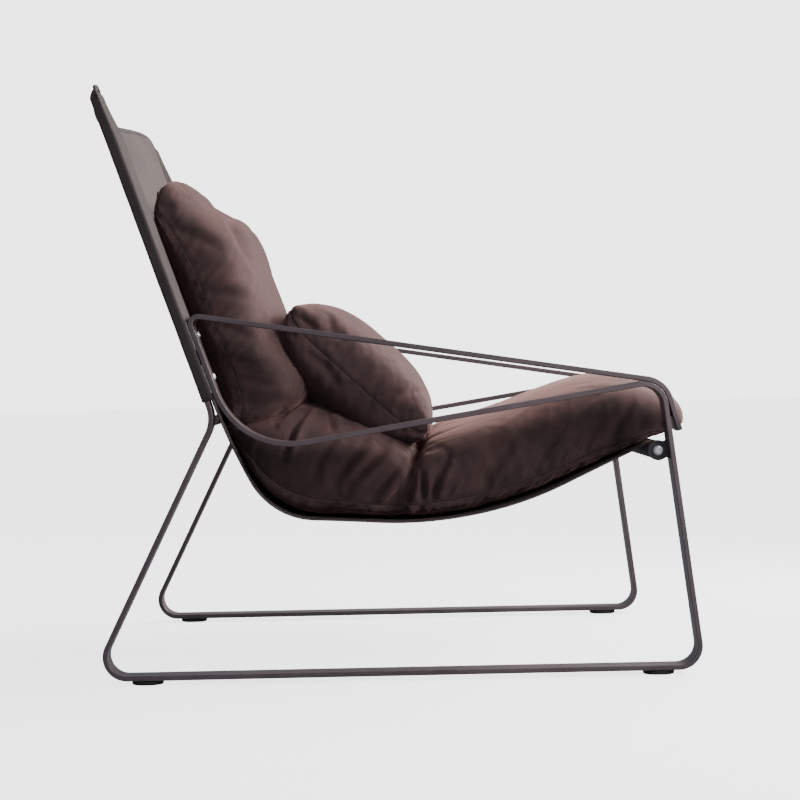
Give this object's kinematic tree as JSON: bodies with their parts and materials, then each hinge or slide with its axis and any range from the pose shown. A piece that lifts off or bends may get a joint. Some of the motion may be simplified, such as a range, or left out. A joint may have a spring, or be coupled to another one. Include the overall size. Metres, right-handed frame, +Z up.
{
  "type": "leather sling lounge chair",
  "caption": "Low lounge chair with a leather sling hung between bent flat-bar side frames, with a back cushion, a seat cushion and a loose lumbar pillow.",
  "frame": {"origin": "on the floor, under the middle of the bounding box", "axes": "+X towards the front of the chair, +Y towards the sitter's left, +Z up"},
  "size_m": [0.988, 0.7452, 0.9469],
  "materials": {
    "frame_steel": "bronze-grey powder coat, satin",
    "bright_steel": "bright socket screws",
    "glide_rubber": "black, matte",
    "sling_leather": "smooth grey-taupe saddle leather",
    "cushion_leather": "brown nubuck, soft nap"
  },
  "bodies": {
    "chair": {"side_frame_right": "frame_steel", "glide_rear_right": "glide_rubber", "glide_front_right": "glide_rubber", "arm_spacer_upper_right": "frame_steel", "arm_screw_upper_right": "bright_steel", "arm_spacer_lower_right": "frame_steel", "arm_screw_lower_right": "bright_steel", "drop_wedge_right": "frame_steel", "drop_screw_right": "bright_steel", "crossbar_lug_right": "frame_steel", "crossbar_plug_right": "frame_steel", "crossbar_bolt_right": "bright_steel", "side_frame_left": "frame_steel", "glide_rear_left": "glide_rubber", "glide_front_left": "glide_rubber", "arm_spacer_upper_left": "frame_steel", "arm_screw_upper_left": "bright_steel", "arm_spacer_lower_left": "frame_steel", "arm_screw_lower_left": "bright_steel", "drop_wedge_left": "frame_steel", "drop_screw_left": "bright_steel", "crossbar_lug_left": "frame_steel", "crossbar_plug_left": "frame_steel", "crossbar_bolt_left": "bright_steel", "front_crossbar": "frame_steel", "rear_crossbar": "frame_steel", "leather_sling": "sling_leather", "seat_cushion": "cushion_leather", "back_cushion": "cushion_leather"},
    "pillow": {"lumbar_pillow": "cushion_leather"}
  },
  "joints": [
    {"name": "pillow_lift", "type": "slide", "parent": "chair", "child": "pillow", "axis": [0.6428, 0, 0.766], "range_m": [0, 0.3]}
  ]
}
